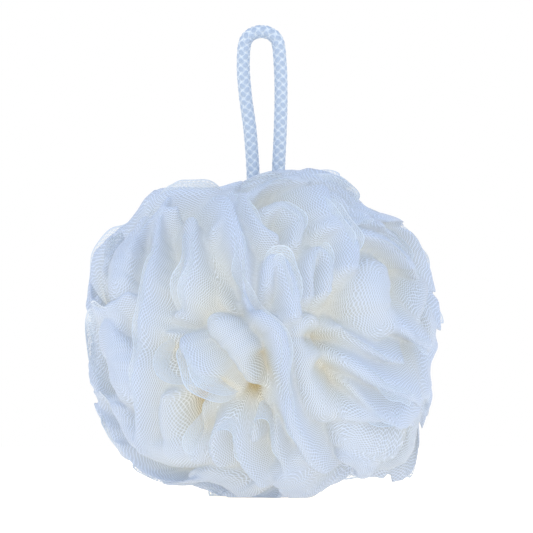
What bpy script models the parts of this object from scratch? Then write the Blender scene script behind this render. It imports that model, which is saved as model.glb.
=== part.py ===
"""Mesh bath pouf: one length of knitted netting gathered across its middle and teased out into
a ball of folds, held by one braided cord that passes round the gathered waist and stands out
of the top as a loop.

Metres, +Z up. The origin is the middle of the flat underside, and the front faces -Y.
Every fold has a crest that follows a route over the ball. From its crest the netting falls
steeply and then hollows out like a scoop, and it runs smoothly into the scoop of the next
crest. Here and there a pocket goes deeper. The deeper the netting lies, the more it is turned
against the skin, so that the folds lean over each other."""

import math
from collections import namedtuple

import bmesh
import bpy
import numpy as np
from mathutils import Vector

# The ball of folds
BALL_WIDTH = 0.125
BALL_DEPTH = 0.118
BALL_HEIGHT = 0.120
REST_FLAT = 0.0030  # how far the folds underneath are pressed flat
SQUARENESS = 2.4  # 2 is a plain ellipsoid, more is boxier
SCOOP_DEPTH = 0.011  # of the hollow beside a crest
SCOOP_WIDTH = 0.0050  # in which most of that depth is reached
SCOOP_SLOPE = 0.40  # of the hollow's floor, away from the crest
FLOOR_DEPTH = 0.016  # of the netting far from every crest
BLEND = 0.0022  # how softly one fold's hollow runs into the next one's
POCKET_DEPTH = 0.027  # of the deepest pocket, where the folds lean by the angles below
FAN_LEAN = 0.42  # radians by which a fold between front and side leans outwards
SIDE_LEAN = 0.55  # radians by which the folds at the side lean round the ball

# The widths of a crest from its middle to its side
EDGE = 0.0014
BAND = 0.0024
ROLL = 0.0040
LOBE = 0.0072

# Folds of the sides and the back
LOOSE_FOLDS = 118
LOOSE_LENGTH = 0.026
LOOSE_UNEVEN = 0.35  # share by which their lengths differ
LOOSE_BEND = 0.9  # of their curve
FRONT_FACE = 0.62  # a loose fold lies outside this cosine from the front
RIM_ROOM = 0.12  # and this far from the rim, as a share of the ball's depth
COLLAR_ROOM = 0.93  # and below this share of the ball's height

# The cord
CORD_DIAMETER = 0.0045
CORD_CLEARANCE = 0.0003
LOOP_RISE = 0.0480  # of the loop's middle line over the ball
LOOP_WIDTH = 0.0133  # between the middles of its two sides, at the widest
LEG_SPREAD = 0.0087  # between the middles of the legs where they leave the ball
LEG_SHIFT = 0.0011  # to the right, of the legs where they leave the ball
WAIST_RADIUS = 0.0065
KNOT_TWIST = 0.009  # length of the half turn in which the two ends cross
KNOT_GAP = 0.0006  # between the two ends in the twist
CORD_TAIL = 0.002

NETTING_COLOUR = (0.72, 0.81, 0.90, 1.0)
CORD_COLOUR = (0.60, 0.72, 0.87, 1.0)

SKIN_DIVISIONS = 7
FACET_SHARE = 0.118
ROUTE_STEP = 0.003
CORD_POINTS = 72

HALF = np.array((BALL_WIDTH, BALL_DEPTH, BALL_HEIGHT)) / 2
CENTRE = np.array((0.0, 0.0, BALL_HEIGHT / 2 - REST_FLAT))
CORD_RADIUS = CORD_DIAMETER / 2

Fold = namedtuple("Fold", "half_width reach route")

# Folds of the front. A route gives points as seen from there: across and up, as shares of the
# ball's half width and half height.
FACE_FOLDS = {
    "long_left_ridge": Fold(
        EDGE,
        1.00,
        ((-0.53, 0.81), (-0.61, 0.48), (-0.67, 0.17), (-0.70, -0.14), (-0.71, -0.45), (-0.68, -0.68)),
    ),
    "left_pocket_ridge": Fold(BAND, 0.97, ((-0.39, 0.70), (-0.41, 0.48), (-0.47, 0.31), (-0.55, 0.17))),
    "pocket_roll": Fold(ROLL, 0.84, ((-0.27, 0.62), (-0.27, 0.44), (-0.28, 0.28))),
    "s_band": Fold(
        BAND,
        1.02,
        (
            (-0.24, 0.88), (-0.17, 0.68), (-0.12, 0.46), (-0.12, 0.30), (-0.04, 0.15), (0.08, 0.03),
            (0.12, -0.12), (0.12, -0.30), (0.16, -0.50), (0.27, -0.71), (0.40, -0.86),
        ),
    ),
    "tongue_arch": Fold(
        BAND, 1.00, ((0.02, 0.33), (0.05, 0.43), (0.12, 0.41), (0.17, 0.28), (0.19, 0.12))
    ),
    "top_finger_edge": Fold(EDGE, 0.98, ((-0.10, 0.90), (-0.06, 0.76), (0.0, 0.64), (0.08, 0.58))),
    "top_cup": Fold(BAND, 0.95, ((0.06, 0.76), (0.15, 0.78), (0.24, 0.70), (0.22, 0.58))),
    "finger_arch": Fold(
        EDGE, 0.97, ((0.29, 0.24), (0.29, 0.42), (0.34, 0.51), (0.40, 0.44), (0.39, 0.26))
    ),
    "right_drape": Fold(
        BAND, 1.00, ((0.35, 0.86), (0.38, 0.74), (0.47, 0.65), (0.52, 0.53), (0.51, 0.40))
    ),
    "right_dome": Fold(LOBE, 0.99, ((0.67, 0.32), (0.67, 0.19), (0.70, 0.05))),
    "dome_brow": Fold(BAND, 1.00, ((0.59, 0.60), (0.72, 0.53), (0.84, 0.40))),
    "upper_right_roll": Fold(ROLL, 0.98, ((0.47, 0.82), (0.58, 0.75), (0.68, 0.67))),
    "long_tongue": Fold(LOBE, 0.97, ((0.31, 0.02), (0.32, -0.14), (0.34, -0.31), (0.36, -0.47))),
    "upper_fan": Fold(EDGE, 1.00, ((0.49, 0.02), (0.59, -0.08), (0.69, -0.14), (0.80, -0.17))),
    "middle_fan": Fold(BAND, 1.02, ((0.50, -0.18), (0.62, -0.26), (0.76, -0.32), (0.87, -0.36))),
    "lower_fan": Fold(EDGE, 0.99, ((0.52, -0.36), (0.61, -0.44), (0.73, -0.51), (0.83, -0.54))),
    "lower_right_lobe": Fold(LOBE, 0.99, ((0.48, -0.64), (0.58, -0.68), (0.67, -0.69))),
    "centre_panel": Fold(LOBE, 0.95, ((-0.28, 0.06), (-0.18, -0.06), (-0.09, -0.20), (-0.03, -0.34))),
    "diagonal_ridge": Fold(BAND, 1.00, ((-0.50, -0.02), (-0.41, -0.18), (-0.30, -0.34), (-0.19, -0.44))),
    "pocket_lip": Fold(EDGE, 0.97, ((-0.59, 0.02), (-0.62, -0.14), (-0.56, -0.26), (-0.46, -0.34))),
    "lower_left_panel": Fold(ROLL, 0.97, ((-0.57, -0.40), (-0.57, -0.54), (-0.52, -0.69))),
    "lower_left_edge": Fold(EDGE, 0.98, ((-0.40, -0.47), (-0.41, -0.60), (-0.39, -0.76))),
    "bottom_arch": Fold(
        EDGE,
        0.99,
        (
            (-0.27, -0.79), (-0.30, -0.66), (-0.26, -0.55), (-0.18, -0.55),
            (-0.15, -0.66), (-0.10, -0.79), (-0.01, -0.88),
        ),
    ),
    "ear": Fold(
        EDGE,
        0.97,
        ((-0.06, -0.64), (-0.05, -0.53), (0.02, -0.51), (0.055, -0.61), (0.075, -0.72), (0.15, -0.83)),
    ),
    "left_lobe": Fold(ROLL, 0.98, ((-0.84, 0.13), (-0.85, -0.05), (-0.83, -0.24))),
    "upper_left_lobe": Fold(LOBE, 1.00, ((-0.71, 0.68), (-0.78, 0.50), (-0.81, 0.34))),
    "low_left_roll": Fold(ROLL, 0.99, ((-0.83, -0.44), (-0.75, -0.61))),
}

# Folds in front of the cord and behind it. Their routes are seen from above: across and back,
# as shares of the ball's half width and half depth.
COLLAR_FOLDS = {
    "collar_front": Fold(ROLL, 0.985, ((-0.17, -0.20), (0.02, -0.20), (0.20, -0.19))),
    "collar_front_outer": Fold(BAND, 0.97, ((-0.16, -0.40), (0.04, -0.42), (0.22, -0.40))),
    "collar_back": Fold(ROLL, 0.975, ((-0.18, 0.19), (0.0, 0.21), (0.20, 0.20))),
    "collar_back_outer": Fold(BAND, 0.96, ((-0.17, 0.41), (0.0, 0.40), (0.18, 0.42))),
}

# Folds round the rim, that the outline in the front view shows: the angle where each begins and
# the one where it ends, counted from the right over the top, and its reach.
RIM_FOLDS = (
    (128, 171, 1.010), (176, 195, 0.985), (199, 216, 0.985), (220, 239, 0.995),
    (243, 262, 0.985), (266, 287, 0.985), (291, 309, 0.985), (312, 325, 1.000),
    (330, 341, 0.995), (345, 357, 0.990), (3, 11, 1.010), (15, 34, 1.000),
    (38, 57, 0.990), (61, 75, 1.010), (94, 104, 0.980), (108, 124, 0.990),
)
RIM_FORWARD = 0.06  # how far in front of the middle they lie, as a share of the ball's depth
RIM_SWING = 0.12  # and how far they swing from there

# Where the outline bulges or draws in against an even round: angle, spread, and height as a
# share of the ball's width
OUTLINE = (
    (350, 7, -0.028),
    (316, 9, 0.0544),
    (297, 10, -0.044),
    (281, 5, -0.012),
    (248, 12, -0.032),
    (210, 10, -0.016),
    (182, 8, -0.012),
    (153, 8, 0.016),
    (140, 9, -0.028),
    (106, 14, -0.052),
    (50, 10, -0.044),
)

# Deep pockets of the front: across and up of one end and of the other, radius, and depth below
# the netting round them, both as shares of the ball's width
POCKETS = (
    (-0.30, -0.37, -0.16, -0.46, 0.048, 0.080),
    (-0.60, -0.08, -0.51, -0.24, 0.040, 0.080),
    (-0.01, -0.22, 0.04, -0.34, 0.040, 0.080),
    (-0.05, -0.49, 0.01, -0.56, 0.036, 0.064),
    (-0.47, -0.42, -0.43, -0.58, 0.044, 0.056),
    (-0.10, 0.37, -0.06, 0.22, 0.040, 0.072),
    (-0.22, 0.42, -0.20, 0.24, 0.048, 0.056),
    (-0.55, 0.22, -0.52, 0.06, 0.044, 0.056),
    (0.36, -0.03, 0.48, -0.06, 0.044, 0.064),
    (0.56, 0.10, 0.68, 0.04, 0.048, 0.032),
    (0.40, -0.26, 0.46, -0.36, 0.044, 0.056),
)


def smooth_line(points, share):
    """Points at the given shares of the length of a smooth curve through the points given."""
    points = np.asarray(points, dtype=float)
    before = points[:1] * 2 - points[1:2]
    after = points[-1:] * 2 - points[-2:-1]
    padded = np.vstack((before, points, after))
    fine = []
    for i in range(len(points) - 1):
        a, b, c, d = padded[i : i + 4]
        slope = (c - a) / 2
        bend = a - 2.5 * b + 2 * c - d / 2
        twist = 1.5 * (b - c) + (d - a) / 2
        for t in np.linspace(0, 1, 12, endpoint=False):
            fine.append(b + t * slope + t**2 * bend + t**3 * twist)
    fine.append(points[-1])
    fine = np.array(fine)
    along = np.concatenate(([0], np.cumsum(np.linalg.norm(np.diff(fine, axis=0), axis=1))))
    wanted = np.asarray(share) * along[-1]
    return np.column_stack([np.interp(wanted, along, fine[:, k]) for k in range(3)])


def unit(vectors):
    """The vectors at length 1."""
    return vectors / np.linalg.norm(vectors, axis=-1, keepdims=True)


def route_length(route):
    """The length of a line through the points given."""
    return np.linalg.norm(np.diff(np.asarray(route), axis=0), axis=1).sum()


def envelope(direction):
    """Distance from the ball's centre to its skin: a box with very round sides, with the bulges
    and hollows of its outline in the front view."""
    skin = (np.abs(direction / HALF) ** SQUARENESS).sum(-1) ** (-1 / SQUARENESS)
    turn = np.degrees(np.arctan2(direction[..., 2], direction[..., 0]))
    near_rim = (1 - direction[..., 1] ** 2) ** 2
    for middle, spread, height in OUTLINE:
        away = (turn - middle + 180) % 360 - 180
        skin = skin + height * BALL_WIDTH * np.exp(-((away / spread) ** 2)) * near_rim
    return skin


def on_ball(side, across, up):
    """The point of an even ball's skin that one side shows at the given shares of its size."""
    depth = (1 - abs(across) ** SQUARENESS - abs(up) ** SQUARENESS) ** (1 / SQUARENESS)
    shares = {"front": (across, -depth, up), "top": (across, up, depth)}[side]
    return np.array(shares) * HALF


def leaned(direction, depth):
    """The direction that the netting has at a share of the deepest pocket's depth, where its
    fold has the one given at its crest. It turns towards the nearer of the front and back poles,
    and round the axis between them."""
    pole_turn = np.arccos(np.clip(direction[..., 1], -1, 1))
    from_pole = np.minimum(pole_turn, math.pi - pole_turn)
    to_pole = np.where(pole_turn > math.pi / 2, 0.5, -0.5)
    pole_turn = pole_turn + depth * FAN_LEAN * np.sin(4 * from_pole) * to_pole
    round_turn = np.arctan2(direction[..., 2], direction[..., 0])
    round_turn = round_turn + depth * SIDE_LEAN * np.sin(pole_turn) ** 2
    from_axis = np.sin(pole_turn)
    return np.stack(
        (from_axis * np.cos(round_turn), np.cos(pole_turn), from_axis * np.sin(round_turn)), -1
    )


def face_folds():
    """The folds of the front and those round the cord, with their routes on the ball's skin."""
    for fold in FACE_FOLDS.values():
        yield fold._replace(route=[on_ball("front", *point) for point in fold.route])
    for fold in COLLAR_FOLDS.values():
        yield fold._replace(route=[on_ball("top", *point) for point in fold.route])


def rim_folds():
    """The folds round the rim, with their routes on the ball's skin."""
    for first, last, reach in RIM_FOLDS:
        turn = np.radians(np.linspace(first, last, 4))
        forward = RIM_SWING * np.sin(turn * 5) - RIM_FORWARD
        direction = unit(np.column_stack((np.cos(turn), forward, np.sin(turn))))
        yield Fold(EDGE, reach, direction * envelope(direction)[:, None])


def loose_folds():
    """Short curved folds spread evenly over the rest of the ball, each turned its own way."""
    golden = math.pi * (3 - math.sqrt(5))
    for i in range(LOOSE_FOLDS):
        height = 1 - 2 * (i + 0.5) / LOOSE_FOLDS
        ring = math.sqrt(1 - height * height)
        centre = np.array((ring * math.cos(golden * i), height, ring * math.sin(golden * i)))
        if -centre[1] > FRONT_FACE or abs(centre[1]) < RIM_ROOM or centre[2] > COLLAR_ROOM:
            continue
        side = unit(np.cross(centre, (0.35, 0.2, 1.0)))
        turn = 1.1 * math.sin(2.1 * centre[0] + 1.7 * centre[2] + 0.5) + 0.9 * math.sin(2.6 * i)
        along = side * math.cos(turn) + np.cross(centre, side) * math.sin(turn)
        across = np.cross(centre, along)
        half = LOOSE_LENGTH / BALL_WIDTH * (1 + LOOSE_UNEVEN * math.sin(4.3 * i))
        bend = half * LOOSE_BEND * math.sin(1.9 * i + 0.4)
        route = []
        for t in (-1, -0.4, 0.3, 1):
            direction = unit(centre + along * half * t + across * bend * (t * t - 0.4) / 2)
            route.append(direction * envelope(direction))
        width = (EDGE, ROLL, BAND, LOBE, BAND)[i % 5]
        yield Fold(width, 0.985 + 0.03 * math.sin(1.7 * i + 0.6), route)


def line_distance(place, a, b):
    """The distance of each place from the straight line between two points."""
    way = b - a
    share = np.clip(((place - a) @ way) / (way @ way), 0, 1)
    return np.linalg.norm(place - a - share[:, None] * way, axis=1)


def crest_drop(distance, half_width):
    """How far the netting has come down at a distance from a crest."""
    share = np.minimum(distance / half_width, 1)
    rounded = half_width * (1 - np.sqrt(1 - 0.96 * share * share)) * 0.8
    beyond = np.maximum(distance - half_width, 0)
    return rounded + SCOOP_DEPTH * (1 - np.exp(-beyond / SCOOP_WIDTH)) + SCOOP_SLOPE * beyond


def folded(direction, folds):
    """The place of the netting that lies in each direction from the ball's centre. Its drop
    under the skin is the least of those of the floor and of all the folds, blended smoothly."""
    skin = envelope(direction)
    place = direction * skin[:, None]
    held = np.full(len(direction), math.exp(-FLOOR_DEPTH / BLEND))
    for fold in folds:
        steps = max(2, round(route_length(fold.route) / ROUTE_STEP))
        crest = smooth_line(fold.route, np.linspace(0, 1, steps + 1))
        nearest = np.full(len(direction), 1.0)
        for a, b in zip(crest, crest[1:]):
            nearest = np.minimum(nearest, line_distance(place, a, b))
        held += np.exp(-((1 - fold.reach) * skin + crest_drop(nearest, fold.half_width)) / BLEND)
    drop = -BLEND * np.log(held)
    for across, up, to_across, to_up, radius, depth in POCKETS:
        ends = on_ball("front", across, up), on_ball("front", to_across, to_up)
        away = line_distance(place, *ends) / (radius * BALL_WIDTH)
        drop = drop + depth * BALL_WIDTH * np.exp(-(away**2))
    return CENTRE + leaned(direction, drop / POCKET_DEPTH) * (skin - drop)[:, None]


def as_object(name, bm, material):
    """An object with the mesh, its faces turned out and the round parts shaded smooth."""
    bmesh.ops.recalc_face_normals(bm, faces=bm.faces[:])
    mesh = bpy.data.meshes.new(name)
    bm.to_mesh(mesh)
    bm.free()
    mesh.shade_smooth()
    mesh.set_sharp_from_angle(angle=math.radians(50))
    if material:
        mesh.materials.append(material)
    obj = bpy.data.objects.new(name, mesh)
    bpy.context.scene.collection.objects.link(obj)
    return obj


def as_guide(obj):
    """Keeps an object out of the finished part: it only cuts or joins."""
    obj.hide_render = True
    obj.display_type = "WIRE"
    return obj


def boolean(obj, operation, other):
    """A live Boolean with another object."""
    modifier = obj.modifiers.new(operation.lower() + "_" + other.name, "BOOLEAN")
    modifier.operation = operation
    modifier.solver = "EXACT"
    modifier.use_self = True
    modifier.object = other


def cord_route():
    """The cord's middle line, from one end in the knot, round the waist, up one leg, over the
    loop and back down to the other end."""
    ring = WAIST_RADIUS + CORD_CLEARANCE + CORD_RADIUS
    twist = CORD_RADIUS + KNOT_GAP / 2
    knot_top = -ring - CORD_RADIUS
    ball_top = BALL_HEIGHT / 2
    loop_top = ball_top + LOOP_RISE
    leg = LEG_SPREAD / 2
    wide = LOOP_WIDTH / 2

    def end(side):
        """One end, from its tail up through the twist and round the waist."""
        turn_count = 4
        points = [(-side * twist, 0, knot_top - KNOT_TWIST - CORD_TAIL)]
        for k in range(turn_count, -1, -1):
            turn = math.pi * k / turn_count
            height = knot_top - KNOT_TWIST * k / turn_count
            points.append((side * twist * math.cos(turn), side * twist * math.sin(turn), height))
        points.append((side * ring * 0.82, 0, -ring * 0.62))
        points.append((side * ring, 0, 0))
        points.append((side * ring * 0.84, 0, ring * 0.70))
        points.append((side * leg + LEG_SHIFT * 0.3, 0, ring * 1.6))
        points.append((side * leg + LEG_SHIFT * 0.6, 0, ball_top * 0.55))
        points.append((side * leg + LEG_SHIFT, 0, ball_top * 0.9))
        return points

    loop = [
        (-leg + LEG_SHIFT - 0.0011, 0, ball_top + LOOP_RISE * 0.25),
        (-wide + 0.0006, 0, ball_top + LOOP_RISE * 0.52),
        (-wide - 0.0002, 0, ball_top + LOOP_RISE * 0.76),
        (-wide * 0.80 - 0.0004, 0, loop_top - wide * 0.42),
        (-0.0004, 0, loop_top),
        (wide * 0.80 - 0.0004, 0, loop_top - wide * 0.42),
        (wide - 0.0004, 0, ball_top + LOOP_RISE * 0.76),
        (wide - 0.0001, 0, ball_top + LOOP_RISE * 0.52),
        (leg + LEG_SHIFT + 0.0008, 0, ball_top + LOOP_RISE * 0.25),
    ]
    return np.array(end(-1) + loop + end(1)[::-1]) + CENTRE


def cord_line(count):
    """Evenly spaced points on the cord's smooth middle line."""
    return smooth_line(cord_route(), np.linspace(0, 1, count))


def hanging_cord():
    """The braided cord, as a plain round tube of its outer size."""
    curve = bpy.data.curves.new("hanging_cord", "CURVE")
    curve.dimensions = "3D"
    curve.bevel_depth = CORD_RADIUS
    curve.bevel_resolution = 2
    curve.use_fill_caps = True
    spline = curve.splines.new("POLY")
    line = cord_line(CORD_POINTS)
    spline.points.add(len(line) - 1)
    for point, place in zip(spline.points, line):
        point.co = (*place, 1)
    curve.materials.append(material("braided cord", CORD_COLOUR, 0.55))
    obj = bpy.data.objects.new("hanging_cord", curve)
    bpy.context.scene.collection.objects.link(obj)
    return obj


def cord_tunnel():
    """What the netting leaves free round the cord: a tube along the same line."""
    sides = 8
    radius = (CORD_RADIUS + CORD_CLEARANCE) / math.cos(math.pi / sides)
    line = cord_line(CORD_POINTS)
    along = unit(np.gradient(line, axis=0))
    line[0] -= along[0] * CORD_CLEARANCE
    line[-1] += along[-1] * CORD_CLEARANCE
    bm = bmesh.new()
    normal = Vector((0, 1, 0))
    rings = []
    for place, way in zip(line, along):
        way = Vector(way)
        normal = (normal - way * normal.dot(way)).normalized()
        third = way.cross(normal)
        ring = []
        for k in range(sides):
            turn = 2 * math.pi * (k + 0.5) / sides
            out = normal * math.cos(turn) + third * math.sin(turn)
            ring.append(bm.verts.new(Vector(place) + out * radius))
        rings.append(ring)
    for a, b in zip(rings, rings[1:]):
        for k in range(sides):
            bm.faces.new((a[k], a[(k + 1) % sides], b[(k + 1) % sides], b[k]))
    bm.faces.new(rings[0][::-1])
    bm.faces.new(rings[-1])
    return as_guide(as_object("cord_tunnel", bm, None))


def knot_room():
    """The room round the twisted ends of the cord."""
    sides = 16
    radius = (2 * CORD_RADIUS + KNOT_GAP / 2 + CORD_CLEARANCE) / math.cos(math.pi / sides)
    top = -(WAIST_RADIUS + CORD_CLEARANCE + CORD_RADIUS)
    bottom = top - CORD_RADIUS - KNOT_TWIST - CORD_TAIL - CORD_CLEARANCE
    bm = bmesh.new()
    bmesh.ops.create_cone(
        bm, cap_ends=True, segments=sides, radius1=radius, radius2=radius, depth=top - bottom
    )
    bmesh.ops.translate(bm, verts=bm.verts[:], vec=Vector(CENTRE) + Vector((0, 0, (top + bottom) / 2)))
    return as_guide(as_object("knot_room", bm, None))


def material(name, colour, roughness):
    """A plain finish of one colour."""
    mat = bpy.data.materials.new(name)
    mat.use_nodes = True
    shader = mat.node_tree.nodes["Principled BSDF"]
    shader.inputs["Base Color"].default_value = colour
    shader.inputs["Roughness"].default_value = roughness
    shader.inputs["Metallic"].default_value = 0.0
    return mat


def floor_plane():
    """What the ball rests on: it presses the lowest folds flat."""
    bm = bmesh.new()
    bmesh.ops.create_cube(bm, size=1.0)
    bmesh.ops.scale(bm, verts=bm.verts[:], vec=(BALL_WIDTH * 2, BALL_DEPTH * 2, BALL_HEIGHT))
    bmesh.ops.translate(bm, verts=bm.verts[:], vec=(0, 0, -BALL_HEIGHT / 2))
    return as_guide(as_object("floor_plane", bm, None))


def mesh_ruffles():
    """The netting: a round skin laid into its folds, thinned to the facets that the folds need,
    pressed flat underneath, with the tunnel that the cord lies in."""
    bm = bmesh.new()
    bmesh.ops.create_icosphere(bm, subdivisions=SKIN_DIVISIONS, radius=1.0)
    direction = unit(np.array([v.co for v in bm.verts]))
    folds = [*face_folds(), *rim_folds(), *loose_folds()]
    for vert, place in zip(bm.verts, folded(direction, folds)):
        vert.co = place
    netting = as_object("mesh_ruffles", bm, material("netting", NETTING_COLOUR, 0.6))
    thinned = netting.modifiers.new("facets", "DECIMATE")
    thinned.ratio = FACET_SHARE
    boolean(netting, "DIFFERENCE", floor_plane())
    boolean(netting, "DIFFERENCE", knot_room())
    boolean(netting, "DIFFERENCE", cord_tunnel())
    return netting


for old in list(bpy.data.objects):
    bpy.data.objects.remove(old)
mesh_ruffles()
hanging_cord()
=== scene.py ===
import math
from collections import namedtuple

import bpy
import numpy as np
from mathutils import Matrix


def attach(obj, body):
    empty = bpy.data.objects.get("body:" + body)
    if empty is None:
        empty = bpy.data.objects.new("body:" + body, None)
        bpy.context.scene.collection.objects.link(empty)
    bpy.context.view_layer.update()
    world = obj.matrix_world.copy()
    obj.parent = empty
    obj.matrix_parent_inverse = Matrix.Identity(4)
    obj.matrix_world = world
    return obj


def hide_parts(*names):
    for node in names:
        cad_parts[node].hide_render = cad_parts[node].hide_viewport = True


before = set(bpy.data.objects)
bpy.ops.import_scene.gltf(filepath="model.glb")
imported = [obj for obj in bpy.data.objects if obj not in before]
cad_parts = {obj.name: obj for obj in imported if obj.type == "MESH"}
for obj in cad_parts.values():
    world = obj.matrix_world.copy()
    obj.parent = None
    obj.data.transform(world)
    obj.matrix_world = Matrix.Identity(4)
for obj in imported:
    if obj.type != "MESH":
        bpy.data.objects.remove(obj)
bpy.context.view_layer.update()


# The camera looks at the front from a little way down, far off and through a long lens, so that
# the ball keeps the round-sided square outline that it has in the photo.
PICTURE_WIDTH = 0.1887
PICTURE_CENTRE = (0.0014, 0.0816)  # across and up
CAMERA_DISTANCE = 1.5
CAMERA_HEIGHT = 0.035

camera_data = bpy.data.cameras.new("camera")
camera_data.sensor_width = 36
camera_data.lens = camera_data.sensor_width * CAMERA_DISTANCE / PICTURE_WIDTH
camera = bpy.data.objects.new("camera", camera_data)
camera.location = (PICTURE_CENTRE[0], -CAMERA_DISTANCE, CAMERA_HEIGHT)
tilt = math.atan2(PICTURE_CENTRE[1] - CAMERA_HEIGHT, CAMERA_DISTANCE)
camera.rotation_euler = (math.pi / 2 + tilt, 0, 0)
bpy.context.scene.collection.objects.link(camera)
bpy.context.scene.camera = camera


# The hanging cord: eight flat plastic strands braided round each other, four winding each way.
# It runs from the knot under the waist round the gathered netting, out of the top as a loop
# and back. Its stiffness holds the loop up.
BALL_HEIGHT = 0.120
REST_FLAT = 0.0030  # how far the folds underneath are pressed flat
CORD_DIAMETER = 0.0045
CORD_CLEARANCE = 0.0003
CORD_POINTS = 461
CORD_TAIL = 0.002
LOOP_RISE = 0.0480  # of the loop's middle line over the ball
LOOP_WIDTH = 0.0133  # between the middles of its two sides, at the widest
LEG_SPREAD = 0.0087  # between the middles of the legs where they leave the ball
LEG_SHIFT = 0.0011  # to the right, of the legs where they leave the ball
WAIST_RADIUS = 0.0065
WAIST_RING = WAIST_RADIUS + CORD_CLEARANCE + CORD_DIAMETER / 2
KNOT_TWIST = 0.009  # length of the half turn in which the two ends cross
KNOT_GAP = 0.0006  # between the two ends in the twist
BALL_CENTRE = np.array((0.0, 0.0, BALL_HEIGHT / 2 - REST_FLAT))

BRAID_EXTRA = 0.0005  # by which the crowns stand out past the cord's diameter
BRAID_PITCH = 0.0118  # length in which a strand winds once round the cord
STRAND_SIDES = 8
STRAND_WIDE = 0.00108  # half of a strand's width
STRAND_THICK = 0.00060  # half of its thickness
STRAND_LIFT = 0.00030  # by which it goes over and under the others
BRAID_PAINTED_HIGHLIGHT, PAINTED_HIGHLIGHT_UNTIL = (0.70, 0.78, 0.87), 0.22  # painted highlight where a strand dives under and at its sides
BRAID_CROWN, CROWN_FROM = (0.38, 0.475, 0.635), 0.68  # and on its back where it lies over


def unit(vectors):
    """The vectors at length 1."""
    return vectors / np.linalg.norm(vectors, axis=-1, keepdims=True)


def smooth_line(points, share):
    """Points at the given shares of the length of a curve. Between two of the points b and c it
    is the cubic whose slopes there are half the steps from a to c and from b to d."""
    points = np.asarray(points, dtype=float)
    padded = np.vstack((2 * points[:1] - points[1:2], points, 2 * points[-1:] - points[-2:-1]))
    a, b, c, d = (padded[k : len(points) - 1 + k, None] for k in range(4))
    t = np.linspace(0, 1, 16, endpoint=False)[None, :, None]
    slope = (c - a) / 2
    bend = a - 2.5 * b + 2 * c - d / 2
    twist = 1.5 * (b - c) + (d - a) / 2
    curve = b + t * slope + t**2 * bend + t**3 * twist
    curve = np.vstack((curve.reshape(-1, 3), points[-1:]))
    along = np.concatenate(([0], np.cumsum(np.linalg.norm(np.diff(curve, axis=0), axis=1))))
    wanted = np.asarray(share) * along[-1]
    return np.stack([np.interp(wanted, along, curve[:, k]) for k in range(3)], 1)


def cord_end(side):
    """The cord's middle line from one tail, up through the half turn, round the waist and up one
    leg. Side is -1 on the left and 1 on the right."""
    knot_top = -WAIST_RING - CORD_DIAMETER / 2
    offset = CORD_DIAMETER / 2 + KNOT_GAP / 2
    top = BALL_HEIGHT / 2
    leg = LEG_SPREAD / 2
    points = [(-side * offset, 0, knot_top - KNOT_TWIST - CORD_TAIL)]
    for turn in np.pi * np.arange(4, -1, -1) / 4:
        height = knot_top - KNOT_TWIST * turn / math.pi
        points.append((side * offset * math.cos(turn), side * offset * math.sin(turn), height))
    points += [
        (side * WAIST_RING * 0.82, 0, -WAIST_RING * 0.62),
        (side * WAIST_RING, 0, 0),
        (side * WAIST_RING * 0.84, 0, WAIST_RING * 0.70),
        (side * leg + LEG_SHIFT * 0.3, 0, WAIST_RING * 1.6),
        (side * leg + LEG_SHIFT * 0.6, 0, top * 0.55),
        (side * leg + LEG_SHIFT, 0, top * 0.9),
    ]
    return points


def cord_route():
    """The whole of the cord's middle line, as the part's own tube has it."""
    top = BALL_HEIGHT / 2
    loop_top = top + LOOP_RISE
    leg = LEG_SPREAD / 2
    wide = LOOP_WIDTH / 2
    loop = [
        (-leg + LEG_SHIFT - 0.0011, 0, top + LOOP_RISE * 0.25),
        (-wide + 0.0006, 0, top + LOOP_RISE * 0.52),
        (-wide - 0.0002, 0, top + LOOP_RISE * 0.76),
        (-wide * 0.80 - 0.0004, 0, loop_top - wide * 0.42),
        (-0.0004, 0, loop_top),
        (wide * 0.80 - 0.0004, 0, loop_top - wide * 0.42),
        (wide - 0.0004, 0, top + LOOP_RISE * 0.76),
        (wide - 0.0001, 0, top + LOOP_RISE * 0.52),
        (leg + LEG_SHIFT + 0.0008, 0, top + LOOP_RISE * 0.25),
    ]
    return np.array(cord_end(-1) + loop + cord_end(1)[::-1]) + BALL_CENTRE


def mesh_object(name, points, faces, material):
    """An object at the origin with the points and faces given, shaded smooth."""
    mesh = bpy.data.meshes.new(name)
    mesh.from_pydata(np.asarray(points).reshape(-1, 3), [], faces)
    mesh.shade_smooth()
    mesh.materials.append(material)
    obj = bpy.data.objects.new(name, mesh)
    bpy.context.scene.collection.objects.link(obj)
    return obj


def tube_faces(rings, sides, first):
    """The faces of a closed tube: quads between rings of points, and a face on each end."""
    ring, side = np.meshgrid(np.arange(rings - 1), np.arange(sides), indexing="ij")
    a = first + ring * sides + side
    b = first + ring * sides + (side + 1) % sides
    quads = np.stack((a, b, b + sides, a + sides), -1).reshape(-1, 4).tolist()
    start = list(range(first, first + sides))[::-1]
    last = first + (rings - 1) * sides
    return quads + [start, list(range(last, last + sides))]


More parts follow.
